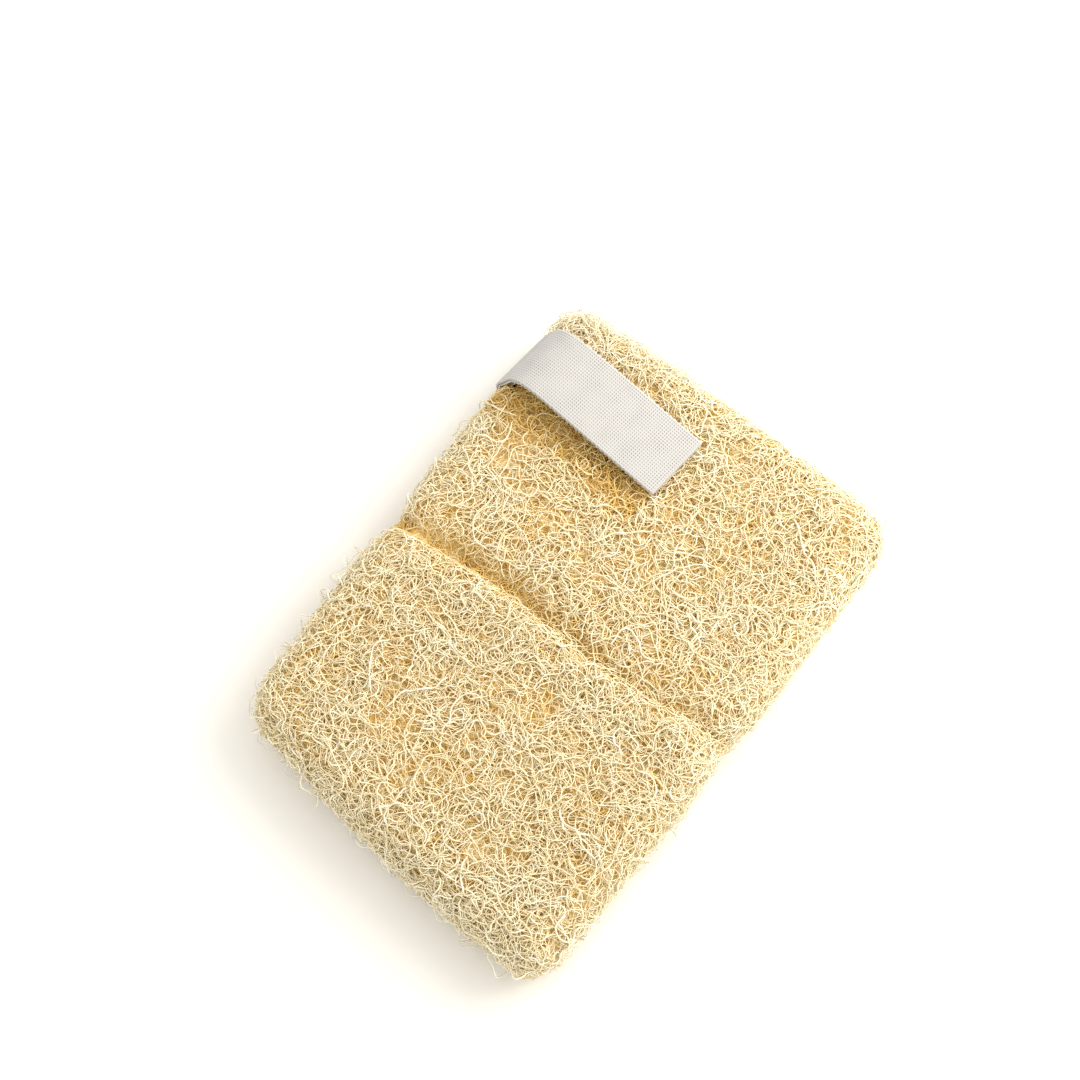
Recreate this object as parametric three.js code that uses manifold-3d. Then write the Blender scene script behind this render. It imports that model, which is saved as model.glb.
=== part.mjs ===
// Natural loofah sponge: a pressed pad of dried gourd fibre, creased across its middle, with a folded cotton tape
// loop sewn to one long side near a corner.
// Millimetres, +Z up. The origin is the middle of the footprint, on the surface that the pad lies on.
// +X runs along the pad to the end with the loop, and +Y to the long side that the loop is sewn to.
import * as THREE from "three";
import { mergeVertices } from "three/addons/utils/BufferGeometryUtils.js";
import Module from "manifold-3d";

const wasm = await Module();
wasm.setup();

// Pad: outer size over its fibres
const PAD_LENGTH = 192;
const PAD_WIDTH = 136;
const PAD_THICKNESS = 25;
const PAD_CENTRE = new THREE.Vector2(-3, -0.6); // the pad's own middle, beside the loop on its +Y side
const EDGE_RADIUS = 11.2;
const PLAIN_END_SLANT = 16.5; // the plain end is cut askew, and the +Y side is this much shorter
const LOOP_END_SLANT = -3;
const END_TAPER = 8.6; // the pad is this much narrower at the plain end
const CORNER_PULL = 0.055; // the share by which the corners are drawn in
const HILL_HEIGHT = 0.8; // slow hills over the top
const HILL_SPREAD = new THREE.Vector2(17, 15);

// Crease left by folding the pad in half, and the dip where the tape is sewn through
const CREASE_X = -2.5;
const CREASE_DEPTH = 5.5;
const CREASE_REACH = 4.5;
const CREASE_PINCH = 2.2; // how far the long sides draw in at the crease
const CREASE_PINCH_REACH = 8;
const SEWN_DIP = 4;
const SEWN_DIP_REACH = 30;

// Fibre net, drawn coarser than life, over a dense inside
const FIBRE_RADIUS = 1.05;
const FIBRES_ON = { top: 64, rim: 44, under: 28 };
const FIBRE_STEPS = 5;
const FIBRE_STEP_LENGTH = 11;
const FIBRE_TURN = 0.6; // the most that a fibre turns at a step, in radians
const FIBRE_SEED = 75;
const CREST_LEVELS = [-0.1, -2.1]; // the two depths that fibres run at, below the outer envelope
const CORE_LEVEL = -3.8;
const ROOT_LEVEL = -6;
const CORE_SEGMENTS = [18, 10, 2];
const REST_SPOT = 5.4; // how far the middle of the underside sags, to lie flat on the surface
const REST_SPOT_REACH = 40;

// Cotton tape, folded double into a loop
const TAPE_WIDTH = 24;
const TAPE_THICKNESS = 1.3;
const LAYER_PITCH = 1.05; // the two layers are sewn tight, pressed into one another
const TAPE_X = 61.9; // where the tape's middle line crosses y = 0
const TAPE_ANGLE = THREE.MathUtils.degToRad(-5);
const WRAP_CENTRE = new THREE.Vector2(56, 13.2); // the bend round the pad's edge, as (y, z) beside the tape
const WRAP_RADIUS = 9.65; // of the inner layer's middle
const SEWN_END = 33; // y where the two ends stop, under the pad
const FOLD_END = 0.5; // y where the loop starts to turn back on itself
const LOWER_LAYER_HEIGHT = 26;
const FOLD_RISE = 2.2; // from the lower layer to the upper one at the fold
const FOLD_LAP = 0.6;
const LOOP_PEAK = new THREE.Vector2(38, 31.8);
const LEAVES_EDGE = THREE.MathUtils.degToRad(40); // where the upper layer leaves the pad's edge
const TAPE_CLEARANCE = 0.35;
const LOWER_STEPS = 44;
const FOLD_STEPS = 10;
const UPPER_STEPS = 48;

// Sewing thread, a boxed cross on the tape's ends
const THREAD_WIDTH = 0.7;
const THREAD_GAP = 0.25;
const BOX_STITCH = new THREE.Vector2(18, 15);
const BOX_STITCH_Y = 46;

const MESH_TOLERANCE = 0.06; // finer than any thread, so that slivers left by joining are taken out
const HALF_LENGTH = PAD_LENGTH / 2;
const HALF_WIDTH = PAD_WIDTH / 2;
const HALF_THICKNESS = PAD_THICKNESS / 2;

// A seeded draw, from 0 to 1
function seededDraw(seed) {
  let state = seed;
  return () => {
    state = (state + 0x6d2b79f5) | 0;
    let t = Math.imul(state ^ (state >>> 15), 1 | state);
    t = (t + Math.imul(t ^ (t >>> 7), 61 | t)) ^ t;
    return ((t ^ (t >>> 14)) >>> 0) / 2 ** 32;
  };
}

function bell(distance, reach) {
  return Math.exp(-((distance / reach) ** 2));
}

// How far a point is outside the pad's outer envelope, or inside where it is below 0
function padLevel(point) {
  const x = point.x - PAD_CENTRE.x;
  const y = point.y - PAD_CENTRE.y;
  const toLongSide = (y / HALF_WIDTH + 1) / 2;
  const plainEnd = -HALF_LENGTH + PLAIN_END_SLANT * toLongSide;
  const loopEnd = HALF_LENGTH - LOOP_END_SLANT * toLongSide;
  const pinch = CREASE_PINCH * bell(point.x - CREASE_X, CREASE_PINCH_REACH);
  const halfWidth = HALF_WIDTH - (END_TAPER * (1 - x / HALF_LENGTH)) / 4 - pinch;
  const along = (2 * x - loopEnd - plainEnd) / (loopEnd - plainEnd);
  const across = y / halfWidth;
  const pull = (other) => Math.sqrt(1 - CORNER_PULL * Math.min(other ** 2, 1.5));
  const hills = HILL_HEIGHT * Math.sin(x / HILL_SPREAD.x + 0.6) * Math.cos(y / HILL_SPREAD.y - 0.8);
  const crease = CREASE_DEPTH * bell(point.x - CREASE_X, CREASE_REACH);
  const sewn = SEWN_DIP * bell(Math.hypot(point.x - TAPE_X, point.y - HALF_WIDTH), SEWN_DIP_REACH);
  const topHalf = HALF_THICKNESS + hills - crease - sewn;
  const up = point.z - HALF_THICKNESS;
  const height = up > 0 ? (up * HALF_THICKNESS) / topHalf : up;
  const outside = new THREE.Vector3(
    Math.abs((along / pull(across)) * HALF_LENGTH) - HALF_LENGTH + EDGE_RADIUS,
    Math.abs((across / pull(along)) * HALF_WIDTH) - HALF_WIDTH + EDGE_RADIUS,
    Math.abs(height) - HALF_THICKNESS + EDGE_RADIUS,
  );
  const within = Math.min(Math.max(outside.x, outside.y, outside.z), 0);
  return outside.max(new THREE.Vector3()).length() + within - EDGE_RADIUS;
}

function padNormal(point) {
  const probe = 0.05;
  const slope = (dx, dy, dz) =>
    padLevel(new THREE.Vector3(point.x + dx, point.y + dy, point.z + dz)) -
    padLevel(new THREE.Vector3(point.x - dx, point.y - dy, point.z - dz));
  return new THREE.Vector3(slope(probe, 0, 0), slope(0, probe, 0), slope(0, 0, probe)).normalize();
}

// Moves a point along the pad's normals until it lies at a level
function settle(point, level) {
  for (let i = 0; i < 8; i += 1) {
    point.addScaledVector(padNormal(point), (level - padLevel(point)) * 0.9);
  }
  return point;
}

function solidOf(geometry) {
  const bare = geometry.clone();
  bare.deleteAttribute("normal");
  bare.deleteAttribute("uv");
  const merged = mergeVertices(bare, 1e-4);
  return new wasm.Manifold(
    new wasm.Mesh({
      numProp: 3,
      vertProperties: merged.attributes.position.array,
      triVerts: new Uint32Array(merged.index.array),
    }),
  );
}

function geometryOf(solid) {
  const made = solid.getMesh();
  const geometry = new THREE.BufferGeometry();
  geometry.setAttribute("position", new THREE.BufferAttribute(made.vertProperties, 3));
  geometry.setIndex(new THREE.BufferAttribute(made.triVerts, 1));
  geometry.computeVertexNormals();
  return geometry;
}

function joined(solids) {
  return solids.reduce((whole, next) => whole.add(next));
}

// The largest body of a solid, without loose scraps and slivers
function soundBody(solid) {
  const bodies = solid.asOriginal().simplify(MESH_TOLERANCE).decompose();
  return bodies.reduce((best, next) => (next.volume() > best.volume() ? next : best));
}

// Dense inside of the pad: a box grid, closer at the crease and the rim, drawn in to the core's level
function padCore() {
  const box = new THREE.BoxGeometry(2, 2, 2, ...CORE_SEGMENTS);
  const place = box.attributes.position;
  const closerAlong = (share) => Math.sign(share) * ((1 - Math.cos(share * Math.PI)) / 2) ** 1.35;
  const closerAcross = (share) => Math.sin((share * Math.PI) / 2);
  for (let i = 0; i < place.count; i += 1) {
    const point = new THREE.Vector3(
      CREASE_X + closerAlong(place.getX(i)) * HALF_LENGTH,
      PAD_CENTRE.y + closerAcross(place.getY(i)) * HALF_WIDTH,
      HALF_THICKNESS + place.getZ(i) * HALF_THICKNESS,
    );
    settle(point, CORE_LEVEL);
    const underside = THREE.MathUtils.smoothstep(HALF_THICKNESS - point.z, 0, HALF_THICKNESS / 2);
    const fromMiddle = Math.hypot(point.x - PAD_CENTRE.x, point.y - PAD_CENTRE.y);
    point.z -= REST_SPOT * underside * bell(fromMiddle, REST_SPOT_REACH);
    place.setXYZ(i, point.x, point.y, point.z);
  }
  return solidOf(box);
}

// Spots spread evenly over one face of the pad, in a fixed order
function spotsOn(face, count) {
  return Array.from({ length: count }, (_, i) => {
    const u = (0.5 + i * 0.7548777) % 1;
    const v = (0.5 + i * 0.5698403) % 1;
    const flat = new THREE.Vector2(2 * u - 1, 2 * v - 1);
    let height = face === "top" ? PAD_THICKNESS : 0;
    if (face === "rim") {
      flat.set(Math.cos(2 * Math.PI * u), Math.sin(2 * Math.PI * u));
      flat.divideScalar(Math.max(Math.abs(flat.x), Math.abs(flat.y)));
      height = v * PAD_THICKNESS;
    }
    return new THREE.Vector3(PAD_CENTRE.x + flat.x * HALF_LENGTH, PAD_CENTRE.y + flat.y * HALF_WIDTH, height);
  });
}

// One fibre: it rises from a root, wanders over the surface and dives back in
function padFibre(spot, crest, draw) {
  const point = settle(spot, crest);
  const heading = new THREE.Vector3(draw() - 0.5, draw() - 0.5, draw() - 0.5);
  heading.projectOnPlane(padNormal(point)).normalize();
  settle(point.addScaledVector(heading, (-FIBRE_STEPS * FIBRE_STEP_LENGTH) / 2), crest);
  const route = [];
  for (let step = 0; step <= FIBRE_STEPS; step += 1) {
    const normal = padNormal(point);
    const level = step === 0 || step === FIBRE_STEPS ? ROOT_LEVEL : crest;
    route.push(settle(point.clone(), level));
    heading.projectOnPlane(normal).normalize();
    heading.applyAxisAngle(normal, (2 * draw() - 1) * FIBRE_TURN);
    settle(point.addScaledVector(heading, FIBRE_STEP_LENGTH), crest);
  }
  const corners = [0, 1, 2].map((i) => {
    const turn = (i * 2 * Math.PI) / 3;
    return new THREE.Vector2(FIBRE_RADIUS * Math.cos(turn), FIBRE_RADIUS * Math.sin(turn));
  });
  const extrudePath = new THREE.CatmullRomCurve3(route);
  const outline = new THREE.Shape(corners);
  return solidOf(new THREE.ExtrudeGeometry(outline, { extrudePath, steps: FIBRE_STEPS, bevelEnabled: false }));
}

// Points round the pad's edge, from one angle to another, at a radius
function wrapPoints(radius, from, to, count) {
  return Array.from({ length: count }, (_, i) => {
    const angle = THREE.MathUtils.lerp(from, to, i / (count - 1));
    return new THREE.Vector2(Math.cos(angle), Math.sin(angle)).multiplyScalar(radius).add(WRAP_CENTRE);
  });
}

// Middle line of the layer that lies on the pad, from its sewn end to the fold, as (y, z)
function lowerLayerLine() {
  const under = WRAP_CENTRE.y - WRAP_RADIUS;
  return [
    new THREE.Vector2(SEWN_END, under),
    new THREE.Vector2(WRAP_CENTRE.x - 8, under),
    ...wrapPoints(WRAP_RADIUS, -Math.PI / 2, Math.PI / 2.2, 6),
    new THREE.Vector2(42, LOWER_LAYER_HEIGHT - 2.2),
    new THREE.Vector2(26, LOWER_LAYER_HEIGHT - 1.1),
    new THREE.Vector2(12, LOWER_LAYER_HEIGHT - 0.1),
    new THREE.Vector2(FOLD_END, LOWER_LAYER_HEIGHT),
  ];
}

// Middle line of the tight turn between the two layers
function foldLine() {
  const middle = LOWER_LAYER_HEIGHT + FOLD_RISE / 2;
  const turn = Array.from({ length: 9 }, (_, i) => {
    const angle = Math.PI * (1.5 - i / 8);
    return new THREE.Vector2(FOLD_END + (FOLD_RISE / 2) * Math.cos(angle), middle + (FOLD_RISE / 2) * Math.sin(angle));
  });
  const first = new THREE.Vector2(FOLD_END + FOLD_LAP, LOWER_LAYER_HEIGHT);
  return [first, ...turn, new THREE.Vector2(FOLD_END + FOLD_LAP, LOWER_LAYER_HEIGHT + FOLD_RISE)];
}

// Middle line of the layer above, from the fold to its sewn end
function upperLayerLine() {
  const radius = WRAP_RADIUS + LAYER_PITCH;
  const under = WRAP_CENTRE.y - radius;
  const top = LOWER_LAYER_HEIGHT + FOLD_RISE;
  return [
    new THREE.Vector2(FOLD_END, top),
    new THREE.Vector2(FOLD_END + FOLD_LAP, top),
    new THREE.Vector2(FOLD_END + 15, top + 1.7),
    LOOP_PEAK,
    new THREE.Vector2(LOOP_PEAK.x + 13, LOOP_PEAK.y - 1),
    new THREE.Vector2(LOOP_PEAK.x + 21, LOOP_PEAK.y - 4.8),
    ...wrapPoints(radius, LEAVES_EDGE, -Math.PI / 2, 5),
    new THREE.Vector2(WRAP_CENTRE.x - 8, under),
    new THREE.Vector2(SEWN_END, under),
  ];
}

// A strip along a line, from one side of it to the other, as a solid where the tape lies
function tapeStrip(line, steps, width, left, right) {
  const curve = new THREE.SplineCurve(line);
  const sides = [left, -right].map((reach) =>
    Array.from({ length: steps + 1 }, (_, i) => {
      const along = curve.getTangentAt(i / steps);
      const out = new THREE.Vector2(-along.y, along.x).multiplyScalar(reach);
      return curve.getPointAt(i / steps).add(out);
    }),
  );
  return tapeBlock([...sides[0], ...sides[1].reverse()], width);
}

// An outline in (y, z), carried across the tape's width and set where the tape lies
function tapeBlock(outline, width) {
  const block = new THREE.ExtrudeGeometry(new THREE.Shape(outline), { depth: width, bevelEnabled: false });
  block.translate(0, 0, -width / 2);
  block.rotateX(Math.PI / 2);
  block.rotateZ(Math.PI / 2);
  return solidOf(block.applyMatrix4(tapeFrame()));
}

function tapeFrame() {
  const turn = new THREE.Matrix4().makeRotationZ(TAPE_ANGLE);
  return turn.setPosition(TAPE_X, 0, 0);
}

function tapeLoop(extra) {
  const half = TAPE_THICKNESS / 2 + extra;
  const width = TAPE_WIDTH + 2 * extra;
  const lower = tapeStrip(lowerLayerLine(), LOWER_STEPS, width, half, half);
  const fold = tapeStrip(foldLine(), FOLD_STEPS, width, half, half);
  return joined([lower, fold, tapeStrip(upperLayerLine(), UPPER_STEPS, width, half, half)]);
}

// The room that the loop takes, with the space inside and outside it, so that no fibre stands there
function loopRoom() {
  const half = TAPE_THICKNESS / 2 + TAPE_CLEARANCE;
  const width = TAPE_WIDTH + 2 * TAPE_CLEARANCE;
  const outside = tapeStrip(lowerLayerLine(), LOWER_STEPS, width, half, HALF_THICKNESS);
  return tapeLoop(TAPE_CLEARANCE).add(outside);
}

function boxStitch() {
  const level = WRAP_CENTRE.y - WRAP_RADIUS - LAYER_PITCH - TAPE_THICKNESS / 2 - THREAD_GAP - THREAD_WIDTH / 2;
  const half = BOX_STITCH.clone().divideScalar(2);
  const diagonal = Math.atan2(BOX_STITCH.y, BOX_STITCH.x);
  const run = (length, turn, x, y) => {
    const bar = new THREE.BoxGeometry(length + THREAD_WIDTH, THREAD_WIDTH, THREAD_WIDTH);
    return solidOf(bar.rotateZ(turn).translate(x, BOX_STITCH_Y + y, level).applyMatrix4(tapeFrame()));
  };
  return joined([
    run(BOX_STITCH.x, 0, 0, half.y),
    run(BOX_STITCH.x, 0, 0, -half.y),
    run(BOX_STITCH.y, Math.PI / 2, half.x, 0),
    run(BOX_STITCH.y, Math.PI / 2, -half.x, 0),
    run(BOX_STITCH.length(), diagonal, 0, 0),
    run(BOX_STITCH.length(), -diagonal, 0, 0),
  ]);
}

function loofahPad() {
  const draw = seededDraw(FIBRE_SEED);
  const spots = Object.entries(FIBRES_ON).flatMap(([face, count]) => spotsOn(face, count));
  const fibres = spots.map((spot, i) => padFibre(spot, CREST_LEVELS[i % CREST_LEVELS.length], draw));
  const floor = new THREE.BoxGeometry(2 * PAD_LENGTH, 2 * PAD_WIDTH, PAD_THICKNESS);
  const below = solidOf(floor.translate(0, 0, -HALF_THICKNESS));
  return soundBody(joined([padCore(), ...fibres]).subtract(below).subtract(loopRoom()));
}

function piece(name, solid, color, roughness) {
  const material = new THREE.MeshStandardMaterial({ color, roughness, metalness: 0 });
  const mesh = new THREE.Mesh(geometryOf(solid), material);
  mesh.name = name;
  return mesh;
}

const sponge = new THREE.Group();
sponge.add(piece("loofah_pad", loofahPad(), 0xe6cf9c, 0.85));
sponge.add(piece("hanging_loop", soundBody(tapeLoop(0)), 0xece8de, 0.9));
sponge.add(piece("loop_stitching", soundBody(boxStitch()), 0xf4f1ea, 0.8));

export default sponge;
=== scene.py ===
"""A natural loofah sponge with a cotton hanging loop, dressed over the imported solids.

Lengths are metres in the shared frame: +X runs along the pad to the end with the loop, +Y to the
long side that the loop is sewn round, and +Z up from the table. Sizes are written in millimetres
and turned to metres by MM.
"""
import logging
import math
from collections.abc import Callable
from dataclasses import dataclass
from enum import Enum

import bmesh
import bpy
import numpy as np
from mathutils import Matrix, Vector


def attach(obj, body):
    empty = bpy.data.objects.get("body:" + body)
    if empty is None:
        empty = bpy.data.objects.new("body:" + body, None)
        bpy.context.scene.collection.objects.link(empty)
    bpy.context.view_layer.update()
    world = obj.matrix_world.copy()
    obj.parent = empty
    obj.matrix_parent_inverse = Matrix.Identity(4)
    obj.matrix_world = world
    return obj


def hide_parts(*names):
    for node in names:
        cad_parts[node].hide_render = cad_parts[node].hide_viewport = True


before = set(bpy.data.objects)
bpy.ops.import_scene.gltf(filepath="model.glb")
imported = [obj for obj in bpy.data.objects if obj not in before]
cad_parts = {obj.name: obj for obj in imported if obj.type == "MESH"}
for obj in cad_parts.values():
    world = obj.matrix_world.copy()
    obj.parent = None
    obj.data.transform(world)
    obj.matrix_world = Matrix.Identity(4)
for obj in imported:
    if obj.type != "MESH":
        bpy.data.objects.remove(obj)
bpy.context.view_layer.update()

LOG = logging.getLogger("loofah")
MM = 0.001
BODY = "root"


class Slot(Enum):
    """The record's material slots."""

    FIBRE = "loofah_fibre"
    TAPE = "cotton_tape"
    THREAD = "sewing_thread"


class Side(Enum):
    """The part of the pad's skin that a layer of fibres grows on."""

    LOOP_HALF = "the top, from the crease to the end with the loop"
    PLAIN_HALF = "the top, from the crease to the plain end"
    TOP = "the whole top"
    RIM = "the upright sides all round"
    UNDER = "the underside"
    BEHIND_TAPE = "the corner between the tape and the end"


def colour(code: str) -> tuple[float, float, float, float]:
    """Turns an sRGB hex code into the linear colour that Blender works in.

    Args:
        code: the colour as "#RRGGBB".

    Returns:
        Linear red, green, blue and an alpha of 1.
    """
    parts = [int(code[place:place + 2], 16) / 255 for place in (1, 3, 5)]
    linear = [part / 12.92 if part <= 0.04045 else ((part + 0.055) / 1.055) ** 2.4 for part in parts]
    return (*linear, 1.0)


def add_node(
        material: bpy.types.Material, kind: str, inputs: dict | None = None, **settings) -> bpy.types.Node:
    """Adds one shader node, sets its properties and fills or links its inputs.

    Args:
        material: the material whose tree it joins.
        kind: the node's Blender type.
        inputs: values or output sockets by input name.
        settings: properties of the node itself.

    Returns:
        The new node.
    """
    tree = material.node_tree
    node = tree.nodes.new(kind)
    for name, value in settings.items():
        setattr(node, name, value)
    for name, value in (inputs or {}).items():
        if isinstance(value, bpy.types.NodeSocket):
            tree.links.new(value, node.inputs[name])
        else:
            node.inputs[name].default_value = value
    return node


def set_ramp(ramp: bpy.types.Node, stops: list[tuple[float, str]]) -> None:
    """Gives a colour ramp its stops.

    Args:
        ramp: the ramp node, with the two stops it comes with.
        stops: positions from 0 to 1 with their hex colours, in order.
    """
    elements = ramp.color_ramp.elements
    while len(elements) < len(stops):
        elements.new(1.0)
    for element, (position, code) in zip(elements, stops):
        element.position = position
        element.color = colour(code)


def new_material(name: str) -> tuple[bpy.types.Material, bpy.types.Node]:
    """Starts a node material from a bare Principled shader.

    Args:
        name: what the real material is called.

    Returns:
        The material and its Principled node.
    """
    material = bpy.data.materials.new(name)
    material.use_nodes = True
    return material, material.node_tree.nodes["Principled BSDF"]


@dataclass(frozen=True)
class LoofahFibre:
    """Dried luffa fibre, retted and sun-bleached, pale straw at the skin; the honey deeper down is painted
    shade.

    It gives the eye a bright wiry net over golden depths.
    """

    name: str = "Dried luffa fibre, retted and sun-bleached"
    deep: str = "#F2CC70"
    middle: str = "#F9EABF"
    skin: str = "#FBF4DC"
    roughness: float = 0.6
    specular: float = 0.25
    grain_length: float = 2.5 * MM
    grain_detail: float = 2.0
    grain_share: float = 0.25

    def material(self) -> bpy.types.Material:
        """Builds the material.

        Returns:
            A material that reads each fibre's own tone from its mesh.
        """
        material, shader = new_material(self.name)
        tone = add_node(material, "ShaderNodeAttribute", attribute_name="fibre_tone")
        place = add_node(material, "ShaderNodeTexCoord")
        grain = add_node(material, "ShaderNodeTexNoise", {
            "Vector": place.outputs["Object"], "Scale": 1 / self.grain_length,
            "Detail": self.grain_detail})
        mixed = add_node(material, "ShaderNodeMath", {
            0: grain.outputs["Fac"], 1: self.grain_share, 2: tone.outputs["Fac"]},
            operation="MULTIPLY_ADD")
        level = add_node(material, "ShaderNodeMath", {
            0: mixed.outputs["Value"], 1: self.grain_share / 2}, operation="SUBTRACT", use_clamp=True)
        ramp = add_node(material, "ShaderNodeValToRGB", {"Fac": level.outputs["Value"]})
        set_ramp(ramp, [(0.0, self.deep), (0.5, self.middle), (1.0, self.skin)])
        material.node_tree.links.new(ramp.outputs["Color"], shader.inputs["Base Color"])
        shader.inputs["Roughness"].default_value = self.roughness
        shader.inputs["Specular IOR Level"].default_value = self.specular
        return material


@dataclass(frozen=True)
class LoofahHeart:
    """The matted inside of a luffa gourd, flattened: pale strands with golden gaps of painted shade.

    It gives the eye the warm floor seen through the holes of the net.
    """

    name: str = "Luffa heart, matted and flattened"
    # painted shade: the golden gaps between the drawn strands stand for the shaded depths of the net
    gap: str = "#F2C76C"
    strand: str = "#FBE8B0"
    mesh_size: float = 2.4 * MM
    strand_share: float = 0.16
    wander_share: float = 0.4
    wander_detail: float = 3.0
    relief: float = 0.8 * MM
    relief_strength: float = 0.8
    roughness: float = 0.75
    specular: float = 0.2

    def material(self) -> bpy.types.Material:
        """Builds the material.

        Returns:
            A material with a net of strands drawn round small cells.
        """
        material, shader = new_material(self.name)
        place = add_node(material, "ShaderNodeTexCoord")
        wander = add_node(material, "ShaderNodeTexNoise", {
            "Vector": place.outputs["Object"], "Scale": self.wander_share / self.mesh_size,
            "Detail": self.wander_detail})
        pushed = add_node(material, "ShaderNodeVectorMath", {
            0: wander.outputs["Color"], 1: (self.mesh_size,) * 3, 2: place.outputs["Object"]},
            operation="MULTIPLY_ADD")
        cells = add_node(material, "ShaderNodeTexVoronoi", {
            "Vector": pushed.outputs["Vector"], "Scale": 1 / self.mesh_size},
            feature="DISTANCE_TO_EDGE")
        strands = add_node(material, "ShaderNodeMapRange", {
            "Value": cells.outputs["Distance"], "From Min": 0.0, "From Max": self.strand_share * 2,
            "To Min": 1.0, "To Max": 0.0}, interpolation_type="SMOOTHSTEP")
        ramp = add_node(material, "ShaderNodeValToRGB", {"Fac": strands.outputs["Result"]})
        set_ramp(ramp, [(0.0, self.gap), (1.0, self.strand)])
        bump = add_node(material, "ShaderNodeBump", {
            "Height": strands.outputs["Result"], "Distance": self.relief,
            "Strength": self.relief_strength})
        material.node_tree.links.new(ramp.outputs["Color"], shader.inputs["Base Color"])
        material.node_tree.links.new(bump.outputs["Normal"], shader.inputs["Normal"])
        shader.inputs["Roughness"].default_value = self.roughness
        shader.inputs["Specular IOR Level"].default_value = self.specular
        return material


@dataclass(frozen=True)
class CottonTape:
    """Heavy cotton tape in plain weave, undyed and unprinted.

    Matt natural white to the eye, with a fine grid of pin-holes between the threads greyed by painted shade.
    """

    name: str = "Cotton tape, plain-woven and undyed"
    crown: str = "#C1C0BE"
    # painted shade: the grey given to the low points of the weave
    hollow_shade: str = "#6E6C69"
    fuzz_size: float = 0.22 * MM
    fuzz_height: float = 0.05 * MM
    fuzz_strength: float = 0.7
    fuzz_detail: float = 2.0
    slub_size: float = 6 * MM
    slub_share: float = 0.3
    slub_detail: float = 3.0
    crown_stop: float = 0.6
    roughness: float = 0.9
    specular: float = 0.2
    sheen: float = 0.2

    def material(self) -> bpy.types.Material:
        """Builds the material.

        Returns:
            A material that darkens each thread by its height in the weave, a painted shade in the hollows.
        """
        material, shader = new_material(self.name)
        height = add_node(material, "ShaderNodeAttribute", attribute_name="thread_height")
        place = add_node(material, "ShaderNodeTexCoord")
        slub = add_node(material, "ShaderNodeTexNoise", {
            "Vector": place.outputs["Object"], "Scale": 1 / self.slub_size,
            "Detail": self.slub_detail})
        level = add_node(material, "ShaderNodeMath", {
            0: slub.outputs["Fac"], 1: self.slub_share, 2: height.outputs["Fac"]},
            operation="MULTIPLY_ADD")
        shifted = add_node(material, "ShaderNodeMath", {
            0: level.outputs["Value"], 1: self.slub_share / 2}, operation="SUBTRACT", use_clamp=True)
        ramp = add_node(material, "ShaderNodeValToRGB", {"Fac": shifted.outputs["Value"]})
        set_ramp(ramp, [(0.0, self.hollow_shade), (self.crown_stop, self.crown)])
        fuzz = add_node(material, "ShaderNodeTexNoise", {
            "Vector": place.outputs["Object"], "Scale": 1 / self.fuzz_size,
            "Detail": self.fuzz_detail})
        bump = add_node(material, "ShaderNodeBump", {
            "Height": fuzz.outputs["Fac"], "Distance": self.fuzz_height,
            "Strength": self.fuzz_strength})
        material.node_tree.links.new(ramp.outputs["Color"], shader.inputs["Base Color"])
        material.node_tree.links.new(bump.outputs["Normal"], shader.inputs["Normal"])
        shader.inputs["Roughness"].default_value = self.roughness
        shader.inputs["Specular IOR Level"].default_value = self.specular
        shader.inputs["Sheen Weight"].default_value = self.sheen
        return material


@dataclass(frozen=True)
class SewingThread:
    """Natural white cotton sewing thread, two-ply.

    It gives the eye a slightly brighter line than the tape it holds.
    """

    name: str = "Cotton sewing thread, spun and twisted"
    light: str = "#F3F1EC"
    ply_length: float = 0.5 * MM
    ply_height: float = 0.08 * MM
    ply_strength: float = 0.8
    ply_unevenness: float = 0.4
    band_scale: float = 0.16
    roughness: float = 0.6

    def material(self) -> bpy.types.Material:
        """Builds the material.

        Returns:
            A material with the slanting ridges of twisted plies.
        """
        material, shader = new_material(self.name)
        place = add_node(material, "ShaderNodeTexCoord")
        plies = add_node(material, "ShaderNodeTexWave", {
            "Vector": place.outputs["Object"], "Scale": self.band_scale / self.ply_length,
            "Distortion": self.ply_unevenness},
            bands_direction="DIAGONAL")
        bump = add_node(material, "ShaderNodeBump", {
            "Height": plies.outputs["Fac"], "Distance": self.ply_height,
            "Strength": self.ply_strength})
        material.node_tree.links.new(bump.outputs["Normal"], shader.inputs["Normal"])
        shader.inputs["Base Color"].default_value = colour(self.light)
        shader.inputs["Roughness"].default_value = self.roughness
        return material


@dataclass(frozen=True)
class StudioPaper:
    """Matt white background paper, rolled smooth. It gives the eye a plain pale floor."""

    name: str = "Background paper, matt white"
    light: str = "#F2F1EE"
    roughness: float = 0.95
    specular: float = 0.1

    def material(self) -> bpy.types.Material:
        """Builds the material.

        Returns:
            A plain matt material.
        """
        material, shader = new_material(self.name)
        shader.inputs["Base Color"].default_value = colour(self.light)
        shader.inputs["Roughness"].default_value = self.roughness
        shader.inputs["Specular IOR Level"].default_value = self.specular
        return material


def unit(vectors: np.ndarray) -> np.ndarray:
    """Scales vectors to a length of 1.

    Args:
        vectors: one vector in each row.

    Returns:
        The same directions, each of length 1.
    """
    return vectors / np.maximum(np.linalg.norm(vectors, axis=-1, keepdims=True), 1e-12)


def bell(distance: np.ndarray, reach: np.ndarray | float) -> np.ndarray:
    """A smooth bump that is 1 at no distance and fades beyond its reach.

    Args:
        distance: how far each point is from the middle of the bump.
        reach: the distance at which it has fallen to about a third.

    Returns:
        Values from 0 to 1.
    """
    return np.exp(-(distance / reach) ** 2)


def link(name: str, data: bpy.types.ID) -> bpy.types.Object:
    """Makes an object for its data and puts it in the scene.

    Args:
        name: the object's name.
        data: a mesh, curve, light or camera.

    Returns:
        The new object, at the origin.
    """
    piece = bpy.data.objects.new(name, data)
    bpy.context.scene.collection.objects.link(piece)
    return piece


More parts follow.
